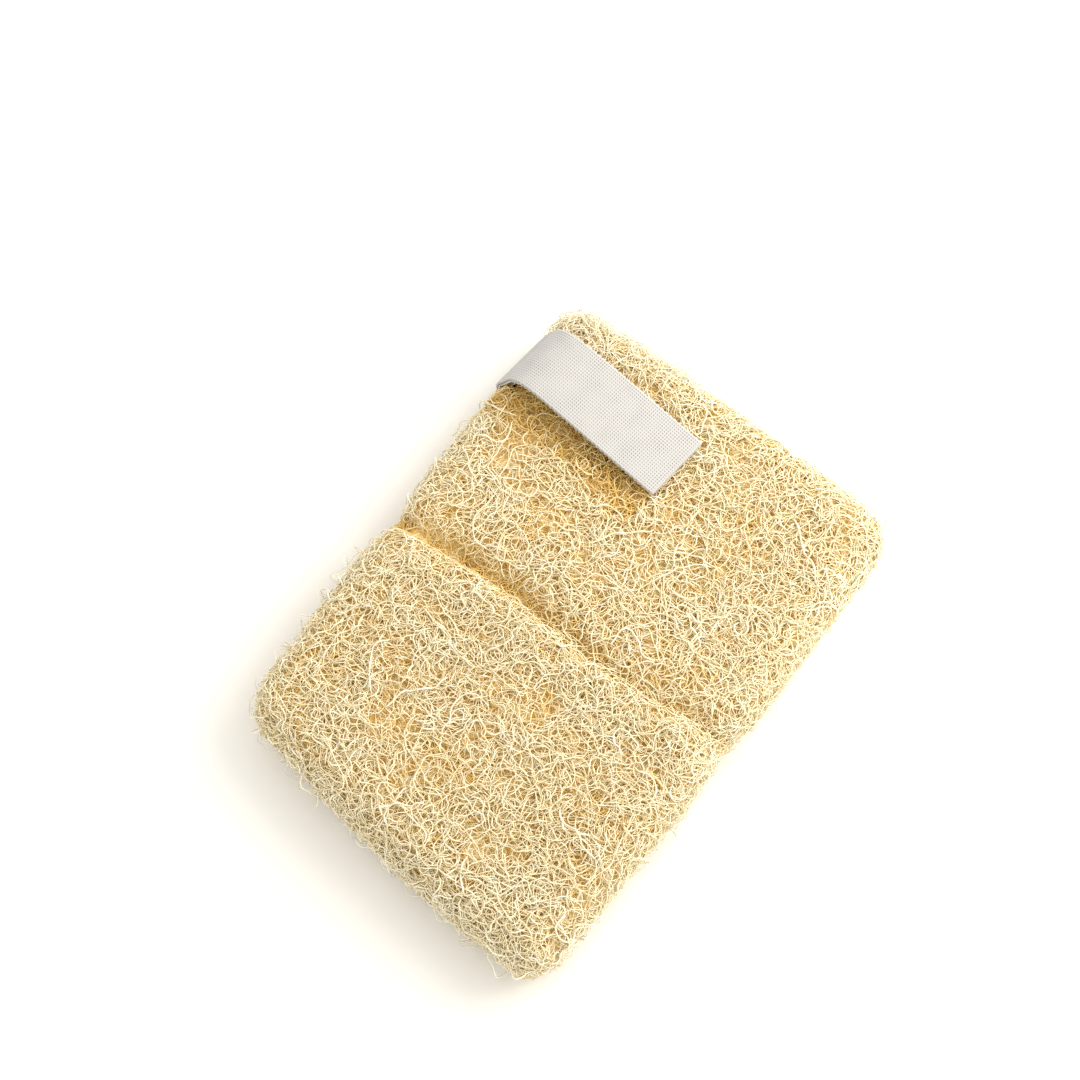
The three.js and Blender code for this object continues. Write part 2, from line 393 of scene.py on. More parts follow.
def mesh_of(source: bpy.types.Object, name: str) -> bpy.types.Object:
    """Turns a curve, or a mesh with modifiers, into a plain mesh object and removes the source.

    Args:
        source: the object to convert.
        name: the new object's name.

    Returns:
        The mesh object.
    """
    evaluated = source.evaluated_get(bpy.context.evaluated_depsgraph_get())
    mesh = bpy.data.meshes.new_from_object(evaluated)
    mesh.name = name
    data = source.data
    bpy.data.objects.remove(source)
    if isinstance(data, bpy.types.Curve):
        bpy.data.curves.remove(data)
    else:
        bpy.data.meshes.remove(data)
    mesh.shade_smooth()
    return link(name, mesh)


@dataclass
class PadEnvelope:
    """The skin that the pad's fibres lie along, as a level: 0 on the skin, below 0 inside."""

    length: float = 192 * MM
    width: float = 136 * MM
    thickness: float = 25 * MM
    centre_x: float = -3 * MM
    centre_y: float = -0.6 * MM
    edge_radius: float = 11.2 * MM
    plain_end_slant: float = 16.5 * MM
    loop_end_slant: float = -3 * MM
    end_taper: float = 8.6 * MM
    corner_pull: float = 0.055
    pull_limit: float = 1.5
    hill_height: float = 0.8 * MM
    hill_spread_x: float = 17 * MM
    hill_spread_y: float = 15 * MM
    hill_phase_x: float = 0.6
    hill_phase_y: float = -0.8
    crease_x: float = -2.5 * MM
    crease_depth: float = 5.8 * MM
    crease_fade: float = 0.52
    crease_fade_y: float = 12 * MM
    crease_fade_reach: float = 14 * MM
    crease_wander: float = 1.1 * MM
    crease_wander_reach: float = 13 * MM
    crease_reach: float = 2.4 * MM
    crease_slope: float = 4.2 * MM
    # painted shade: how much the fibres' tone is lowered in the crease
    crease_painted_shade: float = 0.7
    crease_shade_power: float = 1.5
    crease_walls: float = 3.0
    crease_pinch: float = 2.2 * MM
    pinch_reach: float = 8 * MM
    lip_height: float = 0.9 * MM
    lip_offset: float = -8 * MM
    lip_reach: float = 6 * MM
    sewn_x: float = 61.9 * MM
    sewn_dip: float = 4 * MM
    sewn_reach: float = 30 * MM
    probe: float = 0.05 * MM
    least_slope: float = 0.25
    top_tilt: float = 0.4
    rim_share: float = 0.4
    search_low: tuple[float, float, float] = (-105 * MM, -75 * MM, -2 * MM)
    search_high: tuple[float, float, float] = (105 * MM, 75 * MM, 30 * MM)
    search_band: float = 1 * MM
    search_tries: int = 40000

    def level(self, points: np.ndarray) -> np.ndarray:
        """Measures how far points are outside the skin.

        Args:
            points: one point in each row.

        Returns:
            The level of each, below 0 inside.
        """
        half = np.array([self.length, self.width, self.thickness]) / 2
        x = points[:, 0] - self.centre_x
        y = points[:, 1] - self.centre_y
        to_long_side = (y / half[1] + 1) / 2
        plain_end = -half[0] + self.plain_end_slant * to_long_side
        loop_end = half[0] - self.loop_end_slant * to_long_side
        from_crease = points[:, 0] - self.crease_x
        pinch = self.crease_pinch * bell(from_crease, self.pinch_reach)
        half_width = half[1] - self.end_taper * (1 - x / half[0]) / 4 - pinch
        along = (2 * x - loop_end - plain_end) / (loop_end - plain_end)
        across = y / half_width
        along_pull = np.sqrt(1 - self.corner_pull * np.minimum(across ** 2, self.pull_limit))
        across_pull = np.sqrt(1 - self.corner_pull * np.minimum(along ** 2, self.pull_limit))
        up = points[:, 2] - half[2]
        height = np.where(up > 0, up * half[2] / (half[2] + self.relief(points)), up)
        outside = np.stack([
            np.abs(along / along_pull) * half[0] - half[0],
            np.abs(across / across_pull) * half[1] - half[1],
            np.abs(height) - half[2],
        ], axis=1) + self.edge_radius
        within = np.minimum(outside.max(axis=1), 0)
        return np.linalg.norm(np.maximum(outside, 0), axis=1) + within - self.edge_radius

    def relief(self, points: np.ndarray) -> np.ndarray:
        """Gives the height of the top above its mean: soft hills, the crease with its lip and the sewn dip.

        Args:
            points: one point in each row.

        Returns:
            The height over each point.
        """
        x = points[:, 0] - self.centre_x
        y = points[:, 1] - self.centre_y
        ridges = np.sin(x / self.hill_spread_x + self.hill_phase_x)
        hills = self.hill_height * ridges * np.cos(y / self.hill_spread_y + self.hill_phase_y)
        lip = self.lip_height * bell(points[:, 0] - self.crease_x - self.lip_offset, self.lip_reach)
        from_sewn = np.hypot(points[:, 0] - self.sewn_x, points[:, 1] - self.width / 2)
        sewn = self.sewn_dip * bell(from_sewn, self.sewn_reach)
        return hills + lip - sewn - self.crease_depth * self.in_crease(points)

    def in_crease(self, points: np.ndarray) -> np.ndarray:
        """Says how far into the crease points are, which is sharpest by the long side with the loop.

        Args:
            points: one point in each row.

        Returns:
            Values from 0, away from the crease, to 1 in its deepest part.
        """
        y = points[:, 1] - self.centre_y
        wander = self.crease_wander * np.sin(y / self.crease_wander_reach)
        from_crease = points[:, 0] - self.crease_x - wander
        reach = np.where(from_crease > 0, self.crease_slope, self.crease_reach)
        faded = 1 - self.crease_fade / (1 + np.exp((y - self.crease_fade_y) / self.crease_fade_reach))
        return faded * bell(from_crease, reach)

    def slopes(self, points: np.ndarray) -> np.ndarray:
        """Finds how steeply the level rises along each axis.

        Args:
            points: one point in each row.

        Returns:
            The rise for each metre along x, y and z.
        """
        steps = np.eye(3) * self.probe
        rises = [self.level(points + step) - self.level(points - step) for step in steps]
        return np.stack(rises, axis=1) / (2 * self.probe)

    def normals(self, points: np.ndarray) -> np.ndarray:
        """Finds the outward direction at points.

        Args:
            points: one point in each row.

        Returns:
            Unit normals.
        """
        return unit(self.slopes(points))

    def is_top(self, points: np.ndarray, normals: np.ndarray) -> np.ndarray:
        """Says which points of the skin are on the top, the walls of the crease included.

        Args:
            points: one point in each row.
            normals: their outward directions.

        Returns:
            True for each point on the top.
        """
        by_crease = np.abs(points[:, 0] - self.crease_x) < self.crease_walls * self.crease_slope
        inland = np.abs(points[:, 1] - self.centre_y) < self.width / 2 - self.rim_share * self.edge_radius
        upper = points[:, 2] > self.thickness / 2
        return (normals[:, 2] > self.top_tilt) | (by_crease & inland & upper)

    def settle(self, points: np.ndarray, levels: np.ndarray, rounds: int = 2) -> np.ndarray:
        """Moves points along the normal until each is at its level.

        Args:
            points: one point in each row.
            levels: the level that each point is to reach.
            rounds: how many times the move is repeated.

        Returns:
            The moved points.
        """
        for _ in range(rounds):
            slopes = self.slopes(points)
            gap = self.level(points) - levels
            steepness = np.maximum((slopes ** 2).sum(axis=1), self.least_slope)
            points = points - slopes * (gap / steepness)[:, None]
        return points

    def scatter(self, count: int, wanted: Callable, rng: np.random.Generator) -> np.ndarray:
        """Picks points spread evenly over a part of the skin.

        Args:
            count: how many points.
            wanted: takes points and their normals, and says which are on that part.
            rng: the seeded source of chance.

        Returns:
            The points, close to the skin.
        """
        found = np.empty((0, 3))
        while len(found) < count:
            tries = rng.uniform(self.search_low, self.search_high, (self.search_tries, 3))
            tries = tries[np.abs(self.level(tries)) < self.search_band]
            found = np.concatenate([found, tries[wanted(tries, self.normals(tries))]])
        return found[:count]


def spline_through(points: np.ndarray, samples: int) -> np.ndarray:
    """Samples a smooth curve that passes through every point.

    Args:
        points: the points, one in each row.
        samples: how many samples to take on each stretch.

    Returns:
        The curve's samples in order.
    """
    before = np.concatenate([points[:1], points[:-2]])
    start = points[:-1]
    end = points[1:]
    after = np.concatenate([points[2:], points[-1:]])
    t = np.linspace(0, 1, samples, endpoint=False)[None, :, None]
    before, start, end, after = (part[:, None, :] for part in (before, start, end, after))
    leaving = (end - before) / 2
    arriving = (after - start) / 2
    curve = (2 * start - 2 * end + leaving + arriving) * t ** 3
    curve = curve + (3 * end - 3 * start - 2 * leaving - arriving) * t ** 2 + leaving * t + start
    return np.concatenate([curve.reshape(-1, points.shape[1]), points[-1:]])


@dataclass
class TapeRoute:
    """The tape's middle line, seen along its width: sewn under the pad, over the edge, to the fold and back.

    The strips are the points, y and z in millimetres, that the two layers pass over the top.
    """

    width: float = 24 * MM
    thickness: float = 0.7 * MM
    place_x: float = 61.9 * MM
    angle: float = -5.0
    wrap_y: float = 56 * MM
    wrap_z: float = 13.2 * MM
    wrap_radius: float = 9.65 * MM
    layer_pitch: float = 1.05 * MM
    wrap_top: float = 40.0
    wrap_points: int = 5
    sewn_end: float = 33 * MM
    sewn_turn: float = 48 * MM
    fold_y: float = 0.5 * MM
    fold_z: float = 26.9 * MM
    fold_radius: float = 0.5 * MM
    fold_lead: float = 1.1 * MM
    fold_points: int = 25
    lower_strip: tuple = ((59.2, 27.0), (51.9, 30.3), (38.1, 30.0), (15.6, 28.1))
    upper_strip: tuple = ((15.5, 29.1), (38, 31), (52.5, 31.3), (60, 27.8))
    spline_samples: int = 12
    measure_points: int = 1200
    press_gap: float = 0.15 * MM
    press_overrun: float = 3 * MM
    # painted shadow: how much the fibres beside the tape's side towards the crease are darkened
    painted_shade: float = 0.6
    stain_offset: float = 2 * MM
    shadow_reach: float = 10 * MM

    def arc(self, radius: float, start: float, end: float, count: int) -> np.ndarray:
        """Gives points round the pad's sewn edge.

        Args:
            radius: the radius about the edge's middle.
            start: the first angle in degrees, 0 along +Y and 90 up.
            end: the last angle in degrees.
            count: how many points.

        Returns:
            The points as y and z.
        """
        turn = np.radians(np.linspace(start, end, count))
        y = self.wrap_y + radius * np.cos(turn)
        return np.stack([y, self.wrap_z + radius * np.sin(turn)], axis=1)

    def lower(self) -> np.ndarray:
        """Follows the inner layer, close under the outer one, from its sewn end to the fold.

        Returns:
            Samples as y and z.
        """
        under = self.wrap_z - self.wrap_radius
        sewn = np.array([[self.sewn_end, under], [self.sewn_turn, under]])
        strip = np.array(self.lower_strip) * MM
        fold = np.array([[self.fold_lead, self.fold_z], [self.fold_y, self.fold_z]])
        wrap = self.arc(self.wrap_radius, -90, self.wrap_top, self.wrap_points)
        return spline_through(np.concatenate([sewn, wrap, strip, fold]), self.spline_samples)

    def fold(self) -> np.ndarray:
        """Follows the rounded fold at the loop's free end.

        Returns:
            Samples as y and z.
        """
        turn = np.radians(np.linspace(270, 90, self.fold_points))
        middle = self.fold_z + self.fold_radius
        y = self.fold_y + self.fold_radius * np.cos(turn)
        return np.stack([y, middle + self.fold_radius * np.sin(turn)], axis=1)

    def upper(self) -> np.ndarray:
        """Follows the outer layer from the fold to its sewn end.

        Returns:
            Samples as y and z.
        """
        radius = self.wrap_radius + self.layer_pitch
        top = self.fold_z + 2 * self.fold_radius
        under = self.wrap_z - radius
        strip = np.array(self.upper_strip) * MM
        fold = np.array([[self.fold_y, top], [self.fold_lead, top]])
        sewn = np.array([[self.sewn_turn, under], [self.sewn_end, under]])
        wrap = self.arc(radius, self.wrap_top, -90, self.wrap_points)
        return spline_through(np.concatenate([fold, strip, wrap, sewn]), self.spline_samples)

    def line(self, count: int) -> np.ndarray:
        """Follows the whole tape in even steps.

        Args:
            count: how many points, both ends included.

        Returns:
            The points as y and z.
        """
        whole = np.concatenate([self.lower()[:-1], self.fold()[:-1], self.upper()])
        travelled = np.concatenate([[0], np.cumsum(np.linalg.norm(np.diff(whole, axis=0), axis=1))])
        even = np.linspace(0, travelled[-1], count)
        return np.stack([np.interp(even, travelled, whole[:, axis]) for axis in (0, 1)], axis=1)

    def run(self) -> float:
        """Measures the tape along its middle line.

        Returns:
            The length of tape used.
        """
        steps = np.diff(self.line(self.measure_points), axis=0)
        return float(np.linalg.norm(steps, axis=1).sum())

    def to_frame(self, points: np.ndarray) -> np.ndarray:
        """Turns points from the tape's own axes to the shared frame.

        Args:
            points: x across the tape, y and z as in the lines above.

        Returns:
            The points in the shared frame.
        """
        cos = math.cos(math.radians(self.angle))
        sin = math.sin(math.radians(self.angle))
        x, y, z = points.T
        return np.stack([self.place_x + x * cos - y * sin, x * sin + y * cos, z], axis=1)

    def from_frame(self, points: np.ndarray) -> np.ndarray:
        """Turns points from the shared frame to the tape's own axes.

        Args:
            points: points in the shared frame.

        Returns:
            x across the tape, y and z.
        """
        cos = math.cos(math.radians(self.angle))
        sin = math.sin(math.radians(self.angle))
        x, y, z = (points - np.array([self.place_x, 0, 0])).T
        return np.stack([x * cos + y * sin, y * cos - x * sin, z], axis=1)

    def in_painted_shadow(self, points: np.ndarray) -> np.ndarray:
        """Says how near points are to the tape's side towards the crease, where the fibres get a painted
        shadow.

        Args:
            points: one point in each row, in the shared frame.

        Returns:
            Values from 0, away from the tape, to 1 beside it.
        """
        own = self.from_frame(points)
        beside = bell(own[:, 0] + self.width / 2 + self.stain_offset, self.shadow_reach)
        return beside * (own[:, 1] > self.fold_y) * (own[:, 2] > self.wrap_z)

    def press(self, points: np.ndarray, room: float) -> np.ndarray:
        """Moves what lies under the tape's inner layer to the pad's side of it.

        Args:
            points: one point in each row, in the shared frame.
            room: how thick the thing at each point is, from its middle.

        Returns:
            The points, with those under the tape pressed clear of it.
        """
        own = self.from_frame(points)
        beneath = np.flatnonzero(np.abs(own[:, 0]) < self.width / 2 + room)
        past_fold = np.array([[self.fold_y - self.press_overrun, self.fold_z]])
        past_sewn = np.array([[self.sewn_end - self.press_overrun, self.wrap_z - self.wrap_radius]])
        line = np.concatenate([past_sewn, self.lower()[::2], past_fold])
        ahead = unit(np.gradient(line, axis=0))
        inward = np.stack([-ahead[:, 1], ahead[:, 0]], axis=1)
        offsets = own[beneath, None, 1:] - line[None]
        nearest = np.argmin((offsets ** 2).sum(axis=2), axis=1)
        depth = (offsets[np.arange(len(beneath)), nearest] * inward[nearest]).sum(axis=1)
        needed = self.thickness / 2 + room + self.press_gap
        inside_run = (nearest > 0) & (nearest < len(line) - 1)
        caught = inside_run & (depth < needed)
        moved = beneath[caught]
        own[moved, 1:] += inward[nearest[caught]] * (needed - depth[caught])[:, None]
        return self.to_frame(own)


@dataclass
class FibreLayer:
    """One layer of the net: how its fibres run, how deep they lie and how thick and pale they are."""

    name: str
    side: Side
    count: int
    steps: int = 15
    step: float = 1.45 * MM
    radius: float = 0.165 * MM
    radius_spread: float = 0.25
    highest: float = -0.2 * MM
    deepest: float = -2.2 * MM
    wave_height: float = 0.7 * MM
    wave_length: float = 7 * MM
    curl: float = 3.0 * MM
    habit: float = 0.5
    lift: float = 0.8 * MM
    palest: float = 1.0
    darkest: float = 0.6
    # painted shade: the tone drops for each millimetre a fibre lies deeper, and rises as it lifts
    tone_fall: float = 0.18 / MM
    seed: int = 1

    RIM_TILT = 0.6
    RIM_LOWEST = 3 * MM
    UNDER_TILT = -0.4
    CORNER_X = 78 * MM
    CORNER_Y = 20 * MM
    CORNER_TILT = -0.2
    WAVE_SPREAD = (0.4, 1.4)
    FLOOR_ROOM = 1.2
    TAPE_ROOM = 1.6
    TIP = 0.15

    def wanted(self, pad: PadEnvelope) -> Callable:
        """Says which points of the skin this layer grows on.

        Args:
            pad: the pad's envelope.

        Returns:
            A function of points and normals that marks the points on this layer's side.
        """
        tests = {
            Side.LOOP_HALF: lambda p, n: pad.is_top(p, n) & (p[:, 0] > pad.crease_x),
            Side.PLAIN_HALF: lambda p, n: pad.is_top(p, n) & (p[:, 0] <= pad.crease_x),
            Side.TOP: pad.is_top,
            Side.RIM: lambda p, n: (np.abs(n[:, 2]) <= self.RIM_TILT) & (p[:, 2] > self.RIM_LOWEST),
            Side.UNDER: lambda p, n: n[:, 2] < self.UNDER_TILT,
            Side.BEHIND_TAPE: lambda p, n: (
                (p[:, 0] > self.CORNER_X) & (p[:, 1] > self.CORNER_Y) & (n[:, 2] > self.CORNER_TILT)),
        }
        return tests[self.side]

    def grow(self, pad: PadEnvelope, tape: TapeRoute) -> tuple[np.ndarray, np.ndarray, np.ndarray]:
        """Lets every fibre of the layer wander along the skin.

        Args:
            pad: the envelope that the fibres keep to.
            tape: the tape that presses the fibres under it and gives a painted shadow beside it.

        Returns:
            Points, radii and tones, each by fibre and then by step.
        """
        rng = np.random.default_rng(self.seed)
        place = pad.scatter(self.count, self.wanted(pad), rng)
        heading = unit(np.cross(pad.normals(place), rng.normal(size=(self.count, 3))))
        bend = rng.normal(0, 1 / self.curl, self.count)
        base = rng.uniform(self.deepest, self.highest, self.count)
        phase = rng.uniform(0, math.tau, self.count)
        wave = self.wave_height * rng.uniform(*self.WAVE_SPREAD, self.count)
        lifts = self.lift * rng.random(self.count) ** 2
        thick = self.radius * np.exp(self.radius_spread * rng.normal(size=self.count))
        tone = rng.uniform(self.darkest, self.palest, self.count)
        places = []
        tones = []
        for step in range(self.steps + 1):
            turn = phase + math.tau * step * self.step / self.wave_length
            level = base + wave * np.sin(turn) + lifts * math.sin(math.pi * step / self.steps)
            place = pad.settle(place, level)
            place[:, 2] = np.maximum(place[:, 2], self.FLOOR_ROOM * thick)
            place = tape.press(place, self.TAPE_ROOM * self.radius)
            places.append(place)
            # painted shade: the tone is lowered in the crease and beside the tape's side
            painted_shade = pad.crease_painted_shade * pad.in_crease(place) ** pad.crease_shade_power
            painted_shade = painted_shade + tape.painted_shade * tape.in_painted_shadow(place)
            # painted shade: deeper levels give darker, more golden tones
            tones.append(tone + self.tone_fall * level - painted_shade)
            normals = pad.normals(place)
            swing = (bend * self.step)[:, None]
            heading = heading * np.cos(swing) + np.cross(normals, heading) * np.sin(swing)
            heading = unit(heading - normals * (heading * normals).sum(axis=1, keepdims=True))
            fresh = rng.normal(0, 1 / self.curl, self.count)
            bend = self.habit * bend + math.sqrt(1 - self.habit ** 2) * fresh
            place = place + heading * self.step
        taper = np.ones(self.steps + 1)
        taper[[0, -1]] = self.TIP
        shades = np.clip(np.stack(tones, axis=1), 0, 1)
        return np.stack(places, axis=1), thick[:, None] * taper, shades


class LoofahPad:
    """The pad: a matted heart, and layers of curling fibre over it on every side."""

    SIDES = 3
    HEART_CUTS = (72, 50, 10)
    HEART_LEVEL = -3.5 * MM
    HEART_ROUGH = 0.7 * MM
    HEART_CREASE_DIP = 2.5 * MM
    HEART_CREASE_REACH = 9 * MM
    HEART_START = 0.92
    HEART_ROUNDS = 10
    HEART_ROOM = 0.3 * MM
    HEART_SEED = 5
    STRAIGHT = 0.9
    LAYERS = (
        FibreLayer("top_net_loop_half", Side.LOOP_HALF, 2200, seed=11),
        FibreLayer("top_net_plain_half", Side.PLAIN_HALF, 2200, seed=12),
        # the deep net's lower tones are painted shade for its depth
        FibreLayer("deep_net", Side.TOP, 2600, steps=10, step=2.2 * MM, radius=0.21 * MM,
                   highest=-1.5 * MM, deepest=-3.8 * MM, curl=4.5 * MM, lift=0, palest=0.75, darkest=0.3,
                   seed=13),
        FibreLayer("rim_net", Side.RIM, 1900, lift=1.6 * MM, seed=14),
        FibreLayer("under_net", Side.UNDER, 1300, steps=12, step=1.8 * MM, radius=0.27 * MM,
                   highest=-0.4 * MM, wave_height=0.4 * MM, lift=0, seed=15),
        FibreLayer("strong_strands", Side.TOP, 70, steps=14, step=1.6 * MM, radius=0.27 * MM, highest=0,
                   deepest=-1.2 * MM, curl=6 * MM, lift=0.8 * MM, darkest=0.8, seed=16),
        FibreLayer("loose_loops", Side.BEHIND_TAPE, 110, steps=16, radius=0.17 * MM, highest=0, curl=4 * MM,
                   lift=7 * MM, darkest=0.8, seed=17),
        FibreLayer("rim_hairs", Side.RIM, 400, steps=8, radius=0.16 * MM, highest=0, curl=4 * MM,
                   lift=4.5 * MM, darkest=0.7, seed=18),
    )

    def __init__(self, pad: PadEnvelope, tape: TapeRoute) -> None:
        """Keeps the shapes that the fibres follow.

        Args:
            pad: the pad's envelope.
            tape: the tape that presses into it.
        """
        self.pad = pad
        self.tape = tape
        self.heart: bpy.types.Object | None = None
        self.nets: list[bpy.types.Object] = []

    def build(self) -> None:
        """Builds the heart and every layer of the net."""
        self.heart = self.build_heart()
        self.nets = [self.build_net(layer) for layer in self.LAYERS]

    def build_heart(self) -> bpy.types.Object:
        """Builds the inside of the pad, a rough body a few millimetres under the skin.

        Returns:
            The heart's mesh object.
        """
        bm = bmesh.new()
        bmesh.ops.create_cube(bm, size=1)
        for axis, cuts in enumerate(self.HEART_CUTS):
            across = [edge for edge in bm.edges
                      if abs((edge.verts[1].co - edge.verts[0].co).normalized()[axis]) > self.STRAIGHT]
            bmesh.ops.subdivide_edges(bm, edges=across, cuts=cuts, use_grid_fill=True)
        start = np.array([vertex.co for vertex in bm.verts])
        start = start * np.array([self.pad.length, self.pad.width, self.pad.thickness])
        middle = np.array([self.pad.centre_x, self.pad.centre_y, self.pad.thickness / 2])
        start = start * self.HEART_START + middle
        rng = np.random.default_rng(self.HEART_SEED)
        by_crease = bell(start[:, 0] - self.pad.crease_x, self.HEART_CREASE_REACH)
        levels = self.HEART_LEVEL - self.HEART_CREASE_DIP * by_crease
        levels = levels + rng.normal(0, self.HEART_ROUGH / 2, len(start))
        settled = self.tape.press(self.pad.settle(start, levels, self.HEART_ROUNDS), self.HEART_ROOM)
        for vertex, place in zip(bm.verts, settled):
            vertex.co = place
        bmesh.ops.recalc_face_normals(bm, faces=bm.faces)
        mesh = bpy.data.meshes.new("loofah_heart")
        bm.to_mesh(mesh)
        bm.free()
        mesh.shade_smooth()
        return link("loofah_heart", mesh)

    def build_net(self, layer: FibreLayer) -> bpy.types.Object:
        """Builds one layer of fibres as thin tubes.

        Args:
            layer: how the layer grows.

        Returns:
            The layer's mesh object, with a tone at each vertex.
        """
        places, radii, tones = layer.grow(self.pad, self.tape)
        outline = bpy.data.curves.new("fibre_outline", "CURVE")
        ring = outline.splines.new("POLY")
        ring.points.add(self.SIDES - 1)
        for point, turn in zip(ring.points, np.arange(self.SIDES) * math.tau / self.SIDES):
            point.co = (math.cos(turn) * layer.radius, math.sin(turn) * layer.radius, 0, 1)
        ring.use_cyclic_u = True
        outline_piece = link("fibre_outline", outline)
        curve = bpy.data.curves.new(layer.name, "CURVE")
        curve.dimensions = "3D"
        curve.bevel_mode = "OBJECT"
        curve.bevel_object = outline_piece
        for place, radius in zip(places, radii):
            fibre = curve.splines.new("POLY")
            fibre.points.add(layer.steps)
            fibre.points.foreach_set("co", np.column_stack([place, np.ones(len(place))]).ravel())
            fibre.points.foreach_set("radius", radius / layer.radius)
        net = mesh_of(link(layer.name + "_curve", curve), layer.name)
        bpy.data.objects.remove(outline_piece)
        bpy.data.curves.remove(outline)
        tone = net.data.attributes.new("fibre_tone", "FLOAT", "POINT")
        tone.data.foreach_set("value", np.repeat(tones.ravel(), self.SIDES))
        return net

    def dress(self) -> None:
        """Gives the heart and the nets their finishes, and hangs them on the body."""
        fibre = LoofahFibre().material()
        self.heart.data.materials.append(LoofahHeart().material())
        for net in self.nets:
            net.data.materials.append(fibre)
        for piece in (self.heart, *self.nets):
            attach(piece, BODY)
            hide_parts("loofah_pad")


class HangingLoop:
    """The cotton tape: one plain-woven strip, folded into a loop and sewn under the pad's long side."""

    THREAD_PITCH = 0.9 * MM
    CROWN_HEIGHT = 0.1 * MM
    SELVEDGE_WAVE = 0.12 * MM
    SELVEDGE_CROWN = 0.75
    WARP_CROWN = 1.0
    WEFT_CROWN = 0.8
    THREAD_SIDE = 0.7
    PIN_HOLE = 0.0

    def __init__(self, route: TapeRoute) -> None:
        """Keeps the tape's route.

        Args:
            route: the middle line that the tape follows.
        """
        self.route = route
        self.tape: bpy.types.Object | None = None

    def build(self) -> None:
        """Weaves the tape flat, bends it along its route and gives it thickness."""
        half_pitch = self.THREAD_PITCH / 2
        across = 4 * round(self.route.width / half_pitch / 4)
        along = 2 * round(self.route.run() / half_pitch / 2)
        bm = bmesh.new()
        bmesh.ops.create_grid(bm, x_segments=across, y_segments=along, size=1)
        flat = np.array([vertex.co for vertex in bm.verts])
        column = np.rint((flat[:, 0] + 1) / 2 * across).astype(int)
        row = np.rint((flat[:, 1] + 1) / 2 * along).astype(int)
        crossing = (column % 2 == 1) & (row % 2 == 1)
        raised = crossing & ((column // 2 + row // 2) % 2 == 0)
        beside = (column + row) % 2 == 1
        heights = [self.WARP_CROWN, self.WEFT_CROWN, self.THREAD_SIDE]
        crown = np.select([raised, crossing, beside], heights, self.PIN_HOLE)
        line = self.route.line(along + 1)
        ahead = unit(np.gradient(line, axis=0))
        outward = np.stack([ahead[:, 1], -ahead[:, 0]], axis=1)
        edge = (column == 0) | (column == across)
        crown = np.where(edge | (row == 0) | (row == along), self.SELVEDGE_CROWN, crown)
        x = flat[:, 0] * self.route.width / 2
        x = x + np.sign(x) * edge * self.SELVEDGE_WAVE * np.where(row % 4 < 2, 1, -1)
        lift = self.CROWN_HEIGHT * (2 * crown - 1)
        places = line[row] + outward[row] * lift[:, None]
        bent = self.route.to_frame(np.column_stack([x, places]))
        for vertex, place in zip(bm.verts, bent):
            vertex.co = place
        bmesh.ops.recalc_face_normals(bm, faces=bm.faces)
        mesh = bpy.data.meshes.new("hanging_tape_flat")
        bm.to_mesh(mesh)
        bm.free()
        # the heights also colour the tape: its low points take painted shade
        height = mesh.attributes.new("thread_height", "FLOAT", "POINT")
        height.data.foreach_set("value", crown)
        source = link("hanging_tape_flat", mesh)
        body = source.modifiers.new("thickness", "SOLIDIFY")
        body.thickness = self.route.thickness
        body.offset = 0
        self.tape = mesh_of(source, "hanging_tape")

    def dress(self, resting_on: bpy.types.Object, seams: list[bpy.types.Object]) -> None:
        """Gives the tape its finish and hangs it on the body.

        Args:
            resting_on: the piece of the pad that the tape lies on. Not used.
            seams: the stitching that goes with it. Not used.
        """
        self.tape.data.materials.append(CottonTape().material())
        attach(self.tape, BODY)
        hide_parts("hanging_loop")
        self.route.run()


class BoxStitch:
    """The square of stitches with crossed diagonals that holds the tape's two ends under the pad."""

    WIDTH = 18 * MM
    LENGTH = 15 * MM
    MIDDLE_Y = 46 * MM
    STITCH = 2.5 * MM
    GAP = 0.5 * MM
    THREAD_RADIUS = 0.28 * MM
    FACE_Z = 2.05 * MM
    BOW = 0.25 * MM
    POINTS = 7

    def __init__(self, route: TapeRoute) -> None:
        """Keeps the tape's route.

        Args:
            route: the tape that is sewn.
        """
        self.route = route
        self.seam: bpy.types.Object | None = None

    def build(self) -> None:
        """Lays one bowed stitch after another along the square and its diagonals."""
        x = self.WIDTH / 2
        y = self.LENGTH / 2
        corners = np.array([[-x, -y], [x, -y], [x, y], [-x, y]])
        seams = [(corners[n], corners[(n + 1) % 4]) for n in range(4)]
        seams += [(corners[0], corners[2]), (corners[1], corners[3])]
        curve = bpy.data.curves.new("box_stitch", "CURVE")
        curve.dimensions = "3D"
        curve.bevel_mode = "ROUND"
        curve.bevel_depth = self.THREAD_RADIUS
        curve.bevel_resolution = 1
        for start, end in seams:
            run = np.linalg.norm(end - start)
            count = round(run / (self.STITCH + self.GAP))
            for n in range(count):
                share = np.linspace(0, 1, self.POINTS) * self.STITCH / (self.STITCH + self.GAP)
                flat = start + (end - start) * ((n + share) / count)[:, None]
                bow = np.sin(np.linspace(0, math.pi, self.POINTS)) * self.BOW
                own = np.column_stack([flat[:, 0], flat[:, 1] + self.MIDDLE_Y, self.FACE_Z - bow])
                stitch = curve.splines.new("POLY")
                stitch.points.add(self.POINTS - 1)
                places = np.column_stack([self.route.to_frame(own), np.ones(self.POINTS)])
                stitch.points.foreach_set("co", places.ravel())
        self.seam = mesh_of(link("box_stitch_curve", curve), "box_stitch")

    def dress(self) -> None:
        """Gives the thread its finish and hangs it on the body."""
        self.seam.data.materials.append(SewingThread().material())
        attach(self.seam, BODY)
        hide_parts("loop_stitching")


